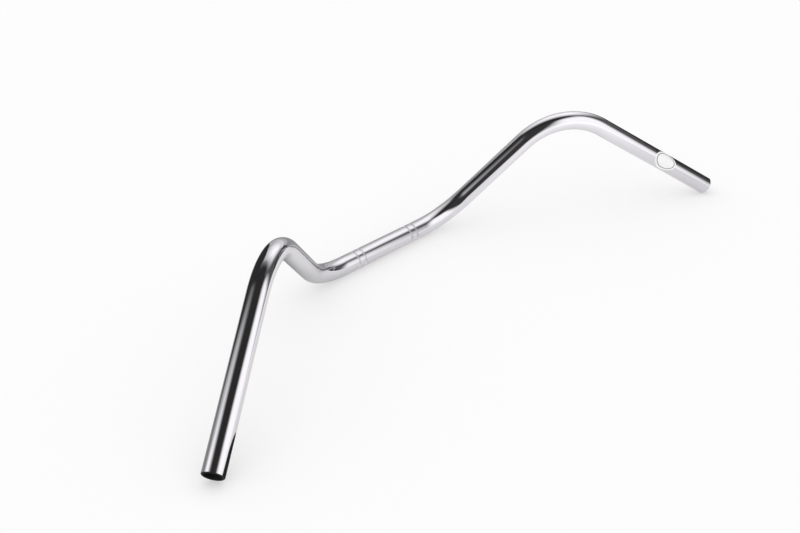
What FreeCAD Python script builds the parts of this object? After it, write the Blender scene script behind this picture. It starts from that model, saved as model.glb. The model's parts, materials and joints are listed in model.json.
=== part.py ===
import FreeCAD, Part
import math
import os

# Motorcycle handlebar: one chromed steel tube with four bends, and a blank label on its right grip.
# Lengths are in millimetres and angles in degrees. X runs along the clamp run to the right, Y points
# forward and Z up. The origin is the middle of the clamp run, on the tube's centreline. The bar lies
# as it comes to rest on a floor: on its clamp run and on the rims of its two grip ends.

Vector = FreeCAD.Vector
ORIGIN = Vector(0, 0, 0)
X_AXIS = Vector(1, 0, 0)
Y_AXIS = Vector(0, 1, 0)
Z_AXIS = Vector(0, 0, 1)

# Tube
TUBE_OD = 22.2
WALL = 2.0
BEND_RADIUS = 87.0

# Straight runs between the bends
CLAMP_RUN = 134.0
RISER_RUN = 96.0
GRIP_RUN = 183.5

# Bends: how far the risers lean up from the clamp run, how far the grips turn from the risers, and how
# far that second bend's plane is turned towards the rider about the riser
RISE_ANGLE = 49.6
SWEEP_ANGLE = 73.6
TURN_ANGLE = 43.2

# Bevelled outer edge of the open ends
END_CHAMFER = 0.6

# Knurl: each of the two clamps grips a pair of narrow bands of V grooves
CLAMP_SPACING = 89.0
BAND_SPACING = 10.0
BAND_WIDTH = 3.0
KNURL_COUNT = 60
KNURL_DEPTH = 0.25
KNURL_ANGLE = 90.0

# Oval label on the right grip: its width is measured straight across the tube, its middle from the end of
# the tube, and it is turned from straight up round the grip towards the rider
LABEL_LENGTH = 35.0
LABEL_WIDTH = 21.0
LABEL_THICKNESS = 0.15
LABEL_FROM_END = 81.0
LABEL_TURN = 70.0

# Worked out from the sizes above
OUTER_RADIUS = TUBE_OD / 2
BORE_RADIUS = OUTER_RADIUS - WALL


def turned(vector, axis, angle):
    """The vector after a right-handed turn about the axis."""
    return FreeCAD.Rotation(axis, angle).multVec(vector)


class Bend:
    """One bend of the centreline, from the end of a straight run to the start of the next."""

    def __init__(self, start, direction, axis, angle):
        self.start = start
        self.direction = direction
        self.axis = axis
        self.angle = angle
        self.centre = start + axis.cross(direction) * BEND_RADIUS
        self.end = self.centre + turned(start - self.centre, axis, angle)
        self.end_direction = turned(direction, axis, angle)

    def rod(self, radius):
        """The round bar that follows this bend."""
        section = Part.Face(Part.Wire(Part.makeCircle(radius, self.start, self.direction)))
        return section.revolve(self.centre, self.axis, self.angle)


# Centreline of the right half, before the bar is leaned back onto its grip ends
clamp_end = X_AXIS * (CLAMP_RUN / 2)
lower_bend = Bend(clamp_end, X_AXIS, -Y_AXIS, RISE_ANGLE)
riser_direction = lower_bend.end_direction
riser_end = lower_bend.end + riser_direction * RISER_RUN
upper_bend = Bend(riser_end, riser_direction, turned(Y_AXIS, riser_direction, -TURN_ANGLE), SWEEP_ANGLE)
grip_start = upper_bend.end
grip_direction = upper_bend.end_direction
grip_end = grip_start + grip_direction * GRIP_RUN


def rim_clearance(lean):
    """How far the lowest point of a grip end's rim is above the clamp run's lowest line."""
    rim = turned(grip_end - grip_direction * END_CHAMFER, X_AXIS, lean)
    slope = turned(grip_direction, X_AXIS, lean).z
    return rim.z - OUTER_RADIUS * math.sqrt(1 - slope**2) + OUTER_RADIUS


def resting_lean():
    """The turn about the clamp run that brings both grip ends down to the floor, found by halving."""
    low = -90.0
    high = 90.0
    for _ in range(60):
        middle = (low + high) / 2
        if rim_clearance(middle) > 0:
            low = middle
        else:
            high = middle
    return middle


def bevelled_grip():
    """The outside of the right grip run as a turned bar, with a 45 degree bevel at its end."""
    side = upper_bend.axis
    outline = Part.makePolygon([
        grip_start,
        grip_start + side * OUTER_RADIUS,
        grip_end - grip_direction * END_CHAMFER + side * OUTER_RADIUS,
        grip_end + side * (OUTER_RADIUS - END_CHAMFER),
        grip_end,
        grip_start,
    ])
    return Part.Face(outline).revolve(grip_start, grip_direction, 360)


def whole_rod(radius, right_grip):
    """A round bar along the whole centreline, from the right grip given: one half and its mirror image."""
    pieces = [
        lower_bend.rod(radius),
        Part.makeCylinder(radius, RISER_RUN, lower_bend.end, riser_direction),
        upper_bend.rod(radius),
        right_grip,
    ]
    mirrored = [piece.mirror(ORIGIN, X_AXIS) for piece in pieces]
    clamp_rod = Part.makeCylinder(radius, CLAMP_RUN, -clamp_end, X_AXIS)
    return clamp_rod.multiFuse(pieces + mirrored).removeSplitter()


def knurl_grooves():
    """Every V groove of the knurl, as bars of triangular section that stand proud of the tube."""
    bottom = OUTER_RADIUS - KNURL_DEPTH
    top = OUTER_RADIUS + KNURL_DEPTH
    half_width = (top - bottom) * math.tan(math.radians(KNURL_ANGLE / 2))
    grooves = []
    for clamp_side in (-1, 1):
        for band_side in (-1, 1):
            middle = clamp_side * CLAMP_SPACING / 2 + band_side * BAND_SPACING / 2
            start = middle - BAND_WIDTH / 2
            section = Part.Face(Part.makePolygon([
                Vector(start, 0, bottom),
                Vector(start, half_width, top),
                Vector(start, -half_width, top),
                Vector(start, 0, bottom),
            ]))
            first = section.extrude(X_AXIS * BAND_WIDTH)
            for index in range(KNURL_COUNT):
                groove = first.copy()
                groove.rotate(ORIGIN, X_AXIS, index * 360 / KNURL_COUNT)
                grooves.append(groove)
    return grooves


def handlebar_tube():
    """The bent tube with its bore, bevelled ends and knurled bands."""
    outside = whole_rod(OUTER_RADIUS, bevelled_grip())
    grip_bore = Part.makeCylinder(BORE_RADIUS, GRIP_RUN, grip_start, grip_direction)
    bore = whole_rod(BORE_RADIUS, grip_bore)
    tube = outside.cut(bore).cut(knurl_grooves())
    tube.rotate(ORIGIN, X_AXIS, resting_lean())
    return tube.Solids[0]


def grip_label():
    """A thin blank oval sheet, wrapped round the top of the right grip."""
    lean = resting_lean()
    along = turned(grip_direction, X_AXIS, lean)
    start = turned(grip_start, X_AXIS, lean)
    middle = turned(grip_end, X_AXIS, lean) - along * LABEL_FROM_END
    upward = (Z_AXIS - along * Z_AXIS.dot(along)).normalize()
    facing = turned(upward, along, LABEL_TURN)
    across = facing.cross(along)
    outside = Part.makeCylinder(OUTER_RADIUS + LABEL_THICKNESS, GRIP_RUN, start, along)
    sleeve = outside.cut(Part.makeCylinder(OUTER_RADIUS, GRIP_RUN, start, along))
    half_sizes = [along * (LABEL_LENGTH / 2), across * (LABEL_WIDTH / 2)]
    minor, major = sorted(half_sizes, key=lambda half: half.Length)
    oval = Part.Ellipse(middle + major, middle + minor, middle).toShape()
    prism = Part.Face(Part.Wire(oval)).extrude(facing * TUBE_OD)
    return sleeve.common(prism).Solids[0]


os.makedirs("parts", exist_ok=True)
handlebar_tube().exportStep("parts/handlebar_tube.step")
grip_label().exportStep("parts/grip_label.step")
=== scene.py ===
import bpy
import json
import math
from mathutils import Matrix, Vector


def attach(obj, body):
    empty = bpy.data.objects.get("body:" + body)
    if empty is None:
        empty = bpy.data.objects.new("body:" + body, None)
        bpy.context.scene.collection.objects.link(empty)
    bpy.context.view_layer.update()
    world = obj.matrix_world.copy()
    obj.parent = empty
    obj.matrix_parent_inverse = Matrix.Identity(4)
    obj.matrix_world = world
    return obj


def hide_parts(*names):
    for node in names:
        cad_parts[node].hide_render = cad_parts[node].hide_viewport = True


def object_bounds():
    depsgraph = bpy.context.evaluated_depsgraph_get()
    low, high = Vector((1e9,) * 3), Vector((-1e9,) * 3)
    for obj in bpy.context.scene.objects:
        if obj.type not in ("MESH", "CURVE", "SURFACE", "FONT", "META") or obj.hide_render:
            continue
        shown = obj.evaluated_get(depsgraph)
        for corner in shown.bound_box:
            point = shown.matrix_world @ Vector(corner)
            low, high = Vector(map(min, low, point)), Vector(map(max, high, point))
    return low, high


# A chromed motorcycle handlebar lying on a pale studio floor. Metres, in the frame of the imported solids.

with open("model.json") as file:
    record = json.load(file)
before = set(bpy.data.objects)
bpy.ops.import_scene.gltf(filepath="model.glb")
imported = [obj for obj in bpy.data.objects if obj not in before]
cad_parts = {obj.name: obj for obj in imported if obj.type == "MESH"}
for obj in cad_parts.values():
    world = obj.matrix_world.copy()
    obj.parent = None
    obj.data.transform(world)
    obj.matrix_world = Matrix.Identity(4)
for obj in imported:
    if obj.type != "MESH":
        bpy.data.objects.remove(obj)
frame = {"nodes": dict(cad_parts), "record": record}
solid_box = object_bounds()

X_AXIS = Vector((1, 0, 0))
Y_AXIS = Vector((0, 1, 0))
Z_AXIS = Vector((0, 0, 1))
MIRROR = Matrix.Scale(-1, 4, X_AXIS)
MM = 0.001

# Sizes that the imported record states
mounts = {mount["name"]: mount for mount in frame["record"]["mounts"]}
clamp = mounts["centre_clamp"]["dims"]
grip = mounts["right_grip"]
bore = mounts["right_end_bore"]["dims"]
OUTER_RADIUS = clamp["r_mm"] * MM
BORE_RADIUS = bore["r_mm"] * MM
CLAMP_RUN = clamp["length_mm"] * MM
GRIP_RUN = bore["length_mm"] * MM
END_BEVEL = GRIP_RUN - grip["dims"]["length_mm"] * MM
GRIP_DIRECTION = Vector(grip["axis"])
GRIP_END = Vector(grip["pos_m"]) + GRIP_DIRECTION * (GRIP_RUN / 2)

# Sizes of the bends, the risers and the knurled bands, as the solids have them
BEND_RADIUS = 87 * MM
RISER_RUN = 96 * MM
RISE_ANGLE = math.radians(49.6)
SWEEP_ANGLE = math.radians(73.6)
TURN_ANGLE = math.radians(43.2)
CLAMP_SPACING = 89 * MM
BAND_SPACING = 10 * MM
BAND_WIDTH = 3 * MM
KNURL_COUNT = 60
KNURL_DEPTH = 0.25 * MM

# Oval label on the right grip, as the solids have it, and the line inside its edge: where that runs and how
# far it reaches either way, as squared shares of the oval
LABEL_LENGTH = 35 * MM
LABEL_WIDTH = 21 * MM
LABEL_FROM_END = 81 * MM
LABEL_TURN = math.radians(70)
LINE_PLACE = 0.68
LINE_CORE = 0.05
LINE_EDGE = 0.07

# How finely the tube is divided: points round it, of which every fourth is the bottom of a knurl groove,
# the longest step along a bend outside and in the bore, and the angle from which an edge is sharp
POINTS_PER_GROOVE = 4
POINTS_ROUND = KNURL_COUNT * POINTS_PER_GROOVE
OUTER_STEP = 2.5 * MM
BORE_STEP = 8 * MM
SHARP_EDGE = math.radians(28)

# Slots of the tube's mesh
CHROME, KNURLED_CHROME, CUT_STEEL, BORE_STEEL = range(4)


class Value:
    """A number on a shader's socket. Arithmetic on it adds Math nodes."""

    def __init__(self, shader, socket):
        self.shader = shader
        self.socket = socket

    def math(self, operation, first, second):
        node = self.shader.add("Math", {"operation": operation}, {0: first, 1: second})
        return Value(self.shader, node.outputs[0])

    def __add__(self, other):
        return self.math("ADD", self, other)

    def __radd__(self, other):
        return self.math("ADD", other, self)

    def __sub__(self, other):
        return self.math("SUBTRACT", self, other)

    def __rsub__(self, other):
        return self.math("SUBTRACT", other, self)

    def __mul__(self, other):
        return self.math("MULTIPLY", self, other)

    def __rmul__(self, other):
        return self.math("MULTIPLY", other, self)


class Shader:
    """The node tree of a material or of the world."""

    def __init__(self, owner):
        owner.use_nodes = True
        self.tree = owner.node_tree
        self.tree.nodes.clear()

    def add(self, kind, settings, sockets):
        """One node of this kind, with its settings and then the values or links of its sockets."""
        node = self.tree.nodes.new("ShaderNode" + kind)
        for name, setting in settings.items():
            setattr(node, name, setting)
        for name, given in sockets.items():
            socket = node.inputs[name]
            if isinstance(given, Value):
                self.tree.links.new(given.socket, socket)
            elif isinstance(given, bpy.types.NodeSocket):
                self.tree.links.new(given, socket)
            else:
                socket.default_value = given
        return node

    def number(self, kind, settings, sockets, output=0):
        """One output of a new node, as a value for arithmetic."""
        return Value(self, self.add(kind, settings, sockets).outputs[output])

    def mix(self, low, high, factor):
        """A colour between two colours or colour sockets, by a factor from 0 to 1."""
        node = self.add("Mix", {"data_type": "RGBA"}, {"Factor": factor, "A": low, "B": high})
        return node.outputs["Result"]

    def colour(self, low, high, factor):
        """A colour between two written ones, by a factor from 0 to 1."""
        return self.mix((*low, 1), (*high, 1), factor)


def surface(name, make):
    """A new material, with the surface that the given function makes."""
    material = bpy.data.materials.new(name)
    shader = Shader(material)
    finish = make(shader)
    shader.add("OutputMaterial", {}, {"Surface": finish.outputs[0]})
    return material


# Materials


def chrome(shader, roughness):
    """Chrome plate: a cool grey mirror with faint polishing haze and a slightly wavy surface."""
    place = shader.add("TexCoord", {}, {}).outputs["Object"]
    haze = shader.number("TexNoise", {}, {"Vector": place, "Scale": 38, "Detail": 5, "Roughness": 0.6})
    wave = shader.number("TexNoise", {}, {"Vector": place, "Scale": 90, "Detail": 2})
    bump = shader.add("Bump", {}, {"Strength": 0.02, "Distance": 0.2 * MM, "Height": wave.socket})
    return shader.add("BsdfPrincipled", {}, {
        "Base Color": shader.colour((0.64, 0.625, 0.655), (0.69, 0.675, 0.70), haze),
        "Roughness": roughness + haze * 0.05,
        "Metallic": 1,
        "Normal": bump.outputs[0],
    })


def polished_chrome(shader):
    return chrome(shader, 0.03)


def knurled_chrome(shader):
    """Plate over the knurl's grooves, where no polishing reaches."""
    return chrome(shader, 0.26)


def cut_steel(shader):
    """The sawn end of the tube: metal coloured nearly black, with a fine grain left by the cut."""
    place = shader.add("TexCoord", {}, {}).outputs["Object"]
    grain = shader.number("TexNoise", {}, {"Vector": place, "Scale": 900, "Detail": 4})
    bump = shader.add("Bump", {}, {"Strength": 0.2, "Distance": 0.1 * MM, "Height": grain.socket})
    return shader.add("BsdfPrincipled", {}, {
        "Base Color": shader.colour((0.03, 0.03, 0.03), (0.07, 0.07, 0.07), grain),
        "Roughness": 0.4 + grain * 0.2,
        "Metallic": 1,
        "Normal": bump.outputs[0],
    })


def bore_steel(shader):
    """The unplated inside of the tube: dark rolled steel with a little scale."""
    place = shader.add("TexCoord", {}, {}).outputs["Object"]
    scale = shader.number("TexNoise", {}, {"Vector": place, "Scale": 160, "Detail": 6})
    bump = shader.add("Bump", {}, {"Strength": 0.3, "Distance": 0.2 * MM, "Height": scale.socket})
    return shader.add("BsdfPrincipled", {}, {
        "Base Color": shader.colour((0.016, 0.015, 0.015), (0.055, 0.05, 0.046), scale),
        "Roughness": 0.55 + scale * 0.25,
        "Metallic": 0.6,
        "Normal": bump.outputs[0],
    })


def oval_share(shader, place):
    """How far out a point of the label lies, as a squared share: 0 in the oval's middle and 1 at its edge."""
    upward = Z_AXIS - GRIP_DIRECTION * GRIP_DIRECTION.z
    facing = Matrix.Rotation(LABEL_TURN, 3, GRIP_DIRECTION) @ upward.normalized()
    middle = GRIP_END - GRIP_DIRECTION * LABEL_FROM_END
    along = GRIP_DIRECTION / (LABEL_LENGTH / 2)
    across = facing.cross(GRIP_DIRECTION) / (LABEL_WIDTH / 2)
    offset = shader.add("VectorMath", {"operation": "SUBTRACT"}, {0: place, 1: middle}).outputs["Vector"]
    shares = [
        shader.number("VectorMath", {"operation": "DOT_PRODUCT"}, {0: offset, 1: axis}, "Value")
        for axis in (along, across)
    ]
    return shares[0] * shares[0] + shares[1] * shares[1]


def vinyl(shader):
    """The label: white film with a soft gloss, a faint grain and one thin grey line inside its edge."""
    place = shader.add("TexCoord", {}, {}).outputs["Object"]
    grain = shader.number("TexNoise", {}, {"Vector": place, "Scale": 700, "Detail": 3})
    bump = shader.add("Bump", {}, {"Strength": 0.05, "Distance": 0.05 * MM, "Height": grain.socket})
    from_line = shader.number("Math", {"operation": "ABSOLUTE"}, {0: oval_share(shader, place) - LINE_PLACE})
    ink = shader.number("MapRange", {}, {"Value": from_line, "From Min": LINE_EDGE, "From Max": LINE_CORE})
    film = shader.colour((0.88, 0.88, 0.885), (0.94, 0.94, 0.945), grain)
    return shader.add("BsdfPrincipled", {}, {
        "Base Color": shader.mix(film, (0.22, 0.22, 0.23, 1), ink),
        "Roughness": 0.32 + grain * 0.12,
        "Normal": bump.outputs[0],
    })


# Tube


def about(point, axis, angle):
    """The turn by an angle about an axis through a point."""
    there = Matrix.Translation(point)
    return there @ Matrix.Rotation(angle, 4, axis) @ there.inverted()


class Station:
    """A place on the centreline, with axes whose Z follows the tube."""

    def __init__(self, axes):
        self.axes = axes
        self.point = axes.translation
        self.direction = axes.col[2].to_3d()

    def ahead(self, distance):
        return Station(self.axes @ Matrix.Translation(Z_AXIS * distance))

    def bend(self, axis, angle, step):
        """The stations round a bend, with none at its start."""
        centre = self.point + axis.cross(self.direction) * BEND_RADIUS
        count = math.ceil(BEND_RADIUS * angle / step)
        return [Station(about(centre, axis, angle * k / count) @ self.axes) for k in range(1, count + 1)]

    def ring(self, radii):
        """Points round the tube, one for each radius given."""
        turns = [2 * math.pi * k / len(radii) for k in range(len(radii))]
        return [
            self.axes @ Vector((radius * math.cos(turn), radius * math.sin(turn), 0))
            for radius, turn in zip(radii, turns)
        ]


def centreline(step):
    """Stations of the right half from the clamp run's end to the grip's end, on the bar as it lies."""
    level = Station(Matrix.Rotation(math.pi / 2, 4, Y_AXIS)).ahead(CLAMP_RUN / 2)
    lower = level.bend(-Y_AXIS, RISE_ANGLE, step)
    riser_end = lower[-1].ahead(RISER_RUN)
    turned = Matrix.Rotation(-TURN_ANGLE, 3, riser_end.direction) @ Y_AXIS
    upper = riser_end.bend(turned, SWEEP_ANGLE, step)
    standing = upper[-1].direction
    lean = math.atan2(GRIP_DIRECTION.z, GRIP_DIRECTION.y) - math.atan2(standing.z, standing.y)
    stations = [level, *lower, riser_end, *upper, upper[-1].ahead(GRIP_RUN)]
    lying = Matrix.Rotation(lean, 4, X_AXIS)
    return [Station(lying @ station.axes) for station in stations]


def plain(radius):
    return [radius] * POINTS_ROUND


def knurled():
    """Radii round a knurled band: every fourth point is the bottom of a groove."""
    return [
        OUTER_RADIUS - KNURL_DEPTH * (k % POINTS_PER_GROOVE == 0)
        for k in range(POINTS_ROUND)
    ]


def outer_half():
    """Rings of the right half's outside from the bar's middle, each with the slot of the faces before it."""
    stations = centreline(OUTER_STEP)
    level = stations[0]
    rings = [(level.ahead(-CLAMP_RUN / 2).ring(plain(OUTER_RADIUS)), CHROME)]
    for band_side in (-1, 1):
        middle = CLAMP_SPACING / 2 + band_side * BAND_SPACING / 2
        near = level.ahead(middle - BAND_WIDTH / 2 - CLAMP_RUN / 2)
        far = level.ahead(middle + BAND_WIDTH / 2 - CLAMP_RUN / 2)
        rings.append((near.ring(plain(OUTER_RADIUS)), CHROME))
        rings.append((near.ring(knurled()), KNURLED_CHROME))
        rings.append((far.ring(knurled()), KNURLED_CHROME))
        rings.append((far.ring(plain(OUTER_RADIUS)), KNURLED_CHROME))
    rings += [(station.ring(plain(OUTER_RADIUS)), CHROME) for station in stations[:-1]]
    rings.append((stations[-1].ahead(-END_BEVEL).ring(plain(OUTER_RADIUS)), CHROME))
    rings.append((stations[-1].ring(plain(OUTER_RADIUS - END_BEVEL)), CUT_STEEL))
    return rings


def bore_half():
    """Rings of the right half's bore, in the same form."""
    stations = centreline(BORE_STEP)
    middle = stations[0].ahead(-CLAMP_RUN / 2)
    return [(station.ring(plain(BORE_RADIUS)), BORE_STEEL) for station in [middle, *stations]]


def whole(half):
    """Both halves in order from the left end, which the cut face leads to."""
    slots = [slot for _, slot in half[1:]] + [CUT_STEEL]
    mirrored = [([MIRROR @ point for point in ring], slot) for (ring, _), slot in zip(half, slots)]
    return mirrored[:0:-1] + half


def tube_mesh():
    """One closed surface: along the outside from the left end, then back along the bore."""
    inside = [([MIRROR @ point for point in ring], slot) for ring, slot in whole(bore_half())]
    rings = whole(outer_half()) + inside
    points = []
    faces = []
    slots = []
    before = (len(rings) - 1) * POINTS_ROUND
    for ring, slot in rings:
        here = len(points)
        for k in range(POINTS_ROUND):
            following = (k + 1) % POINTS_ROUND
            faces.append((before + k, before + following, here + following, here + k))
            slots.append(slot)
        points += ring
        before = here
    mesh = bpy.data.meshes.new("bent_tube")
    mesh.from_pydata(points, [], faces)
    mesh.polygons.foreach_set("material_index", slots)
    mesh.polygons.foreach_set("use_smooth", [True] * len(faces))
    mesh.set_sharp_from_angle(angle=SHARP_EDGE)
    return mesh


def add_object(name, data):
    thing = bpy.data.objects.new(name, data)
    bpy.context.scene.collection.objects.link(thing)
    return thing


tube = add_object("bent_tube", tube_mesh())
for make in (polished_chrome, knurled_chrome, cut_steel, bore_steel):
    tube.data.materials.append(surface(make.__name__, make))
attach(tube, "root")
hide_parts("handlebar_tube")

label = frame["nodes"]["grip_label"]
label.data.materials.clear()
label.data.materials.append(surface("label_film", vinyl))

# Stage: a white floor under an even white light, with lamps, walls and cards that only the chrome shows

# The floor's white is part matt, which takes the bar's shadow, and part its own glow
FLOOR_SIDE = 24.0
FLOOR_MATT = 0.55
FLOOR_GLOW = 0.43

# A painted round pool of light on the floor, which only the chrome's reflections show, and how bright the
# floor is painted outside it
PAINTED_POOL_MIDDLE = (0.07, -0.54, 0)
PAINTED_POOL_RADIUS = 0.52
PAINTED_POOL_EDGE = 0.1
PAINTED_POOL_OUTSIDE = 0.36

# A round room, with azimuths in degrees from +Y towards +X
ROOM_RADIUS = 2.2
ROOM_HEIGHT = 3.8
ROOM_STEP = 5
CEILING_HOLE = 0.01
BACKDROP_START = -19
BACKDROP_STOP = 83
BACKDROP_HEIGHT = 0.64
SIDE_WALL_STOP = 127

# Cards: one behind the left half, a low one beyond the right grip and one on the floor by the left end
BACK_CARD_LEFT = (-0.55, 0.4)
BACK_CARD_RIGHT = (0.055, 0.4)
BACK_CARD_HEIGHT = 1.32
SIDE_CARD_NEAR = (0.62, -0.3)
SIDE_CARD_FAR = (0.62, 0.1)
SIDE_CARD_HEIGHT = 0.19
FLOOR_CARD = ((-0.385, -0.13), (-0.335, -0.17), (-0.27, -0.26), (-0.36, -0.30), (-0.42, -0.25))
FLOOR_CARD_LIFT = 0.5 * MM

# What the lamps point at
LEFT_END = MIRROR @ GRIP_END
BAR_MIDDLE = (0.1, -0.05, 0.05)


def studio_world():
    """An even white light, which is also the background above the floor."""
    world = bpy.data.worlds.new("studio")
    bpy.context.scene.world = world
    shader = Shader(world)
    light = shader.add("Background", {}, {"Color": (1, 1, 1, 1), "Strength": 1})
    shader.add("OutputWorld", {}, {"Surface": light.outputs[0]})


def only_mirrored(thing):
    """Hides a lamp or a card from all but the chrome's reflections."""
    thing.visible_camera = False
    thing.visible_diffuse = False
    thing.visible_shadow = False


def matt(shader, shade):
    return shader.add("BsdfDiffuse", {}, {"Color": (shade, shade, shade, 1)})


def glowing(shader, level):
    """The floor's white at a level from 0 to 1."""
    body = matt(shader, FLOOR_MATT * level)
    glow = shader.add("Emission", {}, {"Strength": FLOOR_GLOW * level})
    return shader.add("AddShader", {}, {0: body.outputs[0], 1: glow.outputs[0]})


def white_floor(shader):
    """White all over for the camera. In the chrome it shows a painted round pool of light, with painted shade
    outside that.
    """
    place = shader.add("TexCoord", {}, {}).outputs["Object"]
    away = shader.number("VectorMath", {"operation": "DISTANCE"}, {0: place, 1: PAINTED_POOL_MIDDLE}, "Value")
    edge = {"Value": away, "From Min": PAINTED_POOL_RADIUS, "From Max": PAINTED_POOL_RADIUS + PAINTED_POOL_EDGE}
    outside = shader.number("MapRange", {"interpolation_type": "SMOOTHSTEP"}, edge)
    mirrored = shader.number("LightPath", {}, {}, "Is Glossy Ray")
    painted_lit = glowing(shader, 1).outputs[0]
    painted_dim = glowing(shader, PAINTED_POOL_OUTSIDE).outputs[0]
    return shader.add("MixShader", {}, {0: outside * mirrored, 1: painted_lit, 2: painted_dim})


def stage_piece(name, points, faces, make):
    """A piece of the studio, with heights from the floor."""
    mesh = bpy.data.meshes.new(name)
    mesh.from_pydata(points, [], faces)
    mesh.materials.append(surface(name, make))
    piece = add_object(name, mesh)
    piece.location.z = solid_box[0].z
    return piece


def wall(name, start, stop, profile, shade):
    """Part of the room: a profile of radii and heights, turned between two azimuths from +Y towards +X."""
    count = math.ceil((stop - start) / ROOM_STEP)
    turns = [math.radians(start + (stop - start) * k / count) for k in range(count + 1)]
    points = [(r * math.sin(turn), r * math.cos(turn), height) for turn in turns for r, height in profile]
    faces = [(k, k + 1, k + 3, k + 2) for k in range(0, 2 * count, 2)]
    only_mirrored(stage_piece(name, points, faces, lambda shader: matt(shader, shade)))


def upright(start, stop, height):
    """Corners of a card that stands on the floor between two points."""
    return [(*start, 0), (*stop, 0), (*stop, height), (*start, height)]


def card(name, corners, shade):
    faces = [tuple(range(len(corners)))]
    only_mirrored(stage_piece(name, corners, faces, lambda shader: matt(shader, shade)))


def softbox(name, place, aim, size, radiance, soft):
    """A lamp as bright as its reflection shows. It fades towards its left and right edges over the first two
    shares of its width, and towards its bottom and top edges over the other two shares of its height."""
    width, height = size
    lamp = bpy.data.lights.new(name, "AREA")
    lamp.shape = "RECTANGLE"
    lamp.size = width
    lamp.size_y = height
    lamp.energy = radiance * math.pi * width * height
    shader = Shader(lamp)
    across = shader.add("NewGeometry", {}, {}).outputs["Parametric"]
    split = shader.add("SeparateXYZ", {}, {"Vector": across})
    fade = 1.0
    for side, reaches in zip(("X", "Y"), soft):
        share = Value(shader, split.outputs[side])
        for edge, reach in zip((share, 1 - share), reaches):
            settings = {"interpolation_type": "SMOOTHSTEP"}
            fade = fade * shader.number("MapRange", settings, {"Value": edge, "From Max": reach})
    light = shader.add("Emission", {}, {"Color": fade})
    shader.add("OutputLight", {}, {"Surface": light.outputs[0]})
    holder = add_object(name, lamp)
    holder.location = place
    holder.rotation_euler = (Vector(place) - Vector(aim)).to_track_quat("Z", "Y").to_euler()
    only_mirrored(holder)


studio_world()

half_floor = FLOOR_SIDE / 2
floor_corners = [(x * half_floor, y * half_floor, 0) for x, y in ((-1, -1), (1, -1), (1, 1), (-1, 1))]
stage_piece("studio_floor", floor_corners, [(0, 1, 2, 3)], white_floor)

LOW_EDGE = (ROOM_RADIUS, 0)
BACKDROP_EDGE = (ROOM_RADIUS, BACKDROP_HEIGHT)
HIGH_EDGE = (ROOM_RADIUS, ROOM_HEIGHT)
CEILING_MIDDLE = (CEILING_HOLE, ROOM_HEIGHT)
wall("low_backdrop", BACKDROP_START, BACKDROP_STOP, (LOW_EDGE, BACKDROP_EDGE), shade=0.55)
wall("far_wall", BACKDROP_START, BACKDROP_STOP, (BACKDROP_EDGE, HIGH_EDGE), shade=0.28)
wall("side_wall", BACKDROP_STOP, SIDE_WALL_STOP, (LOW_EDGE, HIGH_EDGE), shade=0.12)
wall("dark_wall", SIDE_WALL_STOP, BACKDROP_START + 360, (LOW_EDGE, HIGH_EDGE), shade=0.05)
wall("dark_ceiling", 0, 360, (HIGH_EDGE, CEILING_MIDDLE), shade=0.035)

card("dark_card", upright(BACK_CARD_LEFT, BACK_CARD_RIGHT, BACK_CARD_HEIGHT), shade=0.035)
card("side_card", upright(SIDE_CARD_NEAR, SIDE_CARD_FAR, SIDE_CARD_HEIGHT), shade=0.05)
card("floor_card", [(x, y, FLOOR_CARD_LIFT) for x, y in FLOOR_CARD], shade=0.03)

softbox(
    "right_softbox",
    place=(0.41, 0.22, 0.51),
    aim=BAR_MIDDLE,
    size=(1.43, 1.18),
    radiance=1.2,
    soft=((0.34, 0.61), (0.55, 0.38)),
)
softbox(
    "near_softbox",
    place=(0.33, -0.88, 0.31),
    aim=(0.05, -0.05, 0.31),
    size=(1.38, 2.58),
    radiance=1.4,
    soft=((0.32, 0.37), (0.5, 0.35)),
)
softbox(
    "left_softbox",
    place=(-0.49, 0.09, 0.18),
    aim=LEFT_END,
    size=(0.3, 0.66),
    radiance=0.77,
    soft=((0.4, 0.04), (0.72, 0.55)),
)
softbox(
    "high_left_softbox",
    place=(-1.1, 0.17, 0.41),
    aim=(0.14, 0, 0.05),
    size=(1.87, 2),
    radiance=1.52,
    soft=((0.45, 0.45), (0.05, 0.5)),
)
softbox(
    "floor_lamp",
    place=(0.19, -0.91, -0.01),
    aim=(0.19, -0.91, 1),
    size=(0.4, 2.36),
    radiance=0.73,
    soft=((0.5, 0.5), (0.5, 0.5)),
)

# Camera at the photograph's angle

PICTURE_WIDTH = 800
FOCAL_PIXELS = 1229.32
SENSOR_WIDTH = 36.0
CAMERA_PLACE = (-0.9347, -0.8955, 0.6792)
CAMERA_TURN = math.radians(47.12)
CAMERA_DIP = math.radians(28.63)

camera_data = bpy.data.cameras.new("camera")
camera_data.sensor_width = SENSOR_WIDTH
camera_data.lens = FOCAL_PIXELS / PICTURE_WIDTH * SENSOR_WIDTH
camera = add_object("camera", camera_data)
camera.location = CAMERA_PLACE
camera.rotation_euler = (math.pi / 2 - CAMERA_DIP, 0, -CAMERA_TURN)
bpy.context.scene.camera = camera
bpy.context.scene.view_settings.view_transform = "Standard"
